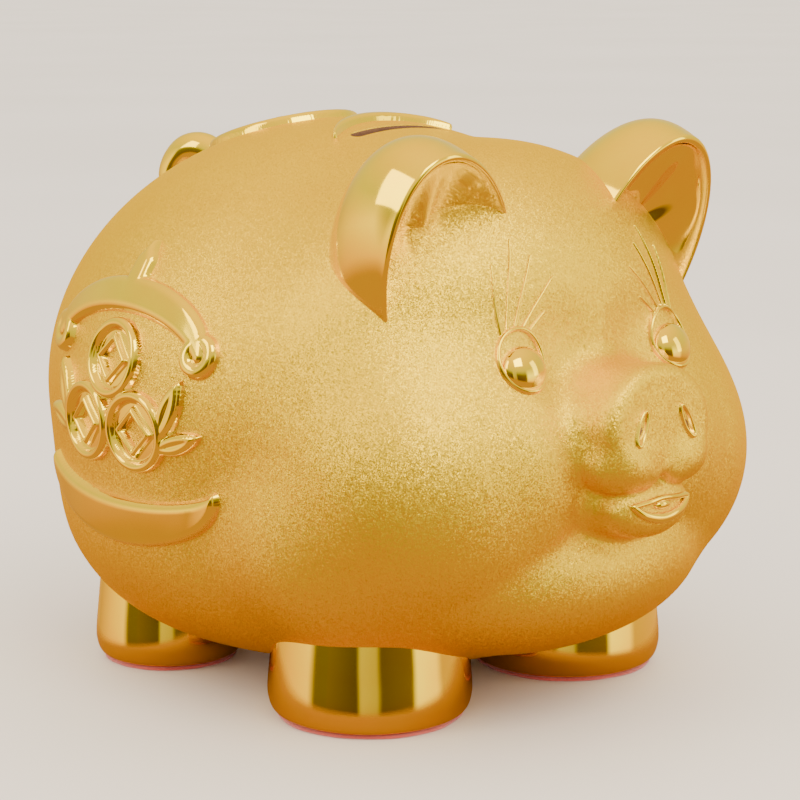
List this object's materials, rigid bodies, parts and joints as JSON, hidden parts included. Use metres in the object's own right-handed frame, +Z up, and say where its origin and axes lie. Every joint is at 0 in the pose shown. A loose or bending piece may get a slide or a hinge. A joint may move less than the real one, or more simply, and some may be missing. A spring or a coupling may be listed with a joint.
{
  "type": "figural animal coin bank",
  "caption": "Golden pig coin bank: hollow frosted shell, polished ears, feet, tail and relief ornament, coin slot in the back and a pull-out stopper in the belly.",
  "frame": {"origin": "centre of the footprint on the surface the bank stands on", "axes": "+Z up, the snout points to -Y, +X is the pig's left side, and the plane x = 0 is the plane of symmetry"},
  "size_m": [0.2178, 0.2629, 0.1938],
  "materials": {
    "frosted_gold": "gold-plated ceramic, sandblasted to an even sparkling satin",
    "polished_gold": "gold-plated over glaze, mirror polished",
    "red_felt": "pressed wool felt",
    "stopper_vinyl": "translucent soft vinyl, satin"
  },
  "bodies": {
    "bank": {"body_shell": "frosted_gold", "ear_right": "polished_gold", "ear_left": "polished_gold", "tail": "polished_gold", "foot_front_right": "polished_gold", "felt_pad_front_right": "red_felt", "foot_rear_right": "polished_gold", "felt_pad_rear_right": "red_felt", "foot_front_left": "polished_gold", "felt_pad_front_left": "red_felt", "foot_rear_left": "polished_gold", "felt_pad_rear_left": "red_felt", "eye_rim_right": "polished_gold", "eye_dome_right": "polished_gold", "eye_rim_left": "polished_gold", "eye_dome_left": "polished_gold", "nostril_rim_right": "polished_gold", "nostril_rim_left": "polished_gold", "mouth_lips": "polished_gold", "tongue": "polished_gold", "flank_arch_right": "polished_gold", "flank_coins_right": "polished_gold", "flank_bowl_right": "polished_gold", "flank_arch_left": "polished_gold", "flank_coins_left": "polished_gold", "flank_bowl_left": "polished_gold", "medal_ring": "polished_gold", "medal_flower": "polished_gold", "slot_arch": "polished_gold"},
    "stopper": {"belly_stopper": "stopper_vinyl"}
  },
  "joints": [
    {"name": "stopper_pull", "type": "slide", "parent": "bank", "child": "stopper", "axis": [0, 0, -1], "range_m": [0, 0.0075]}
  ]
}
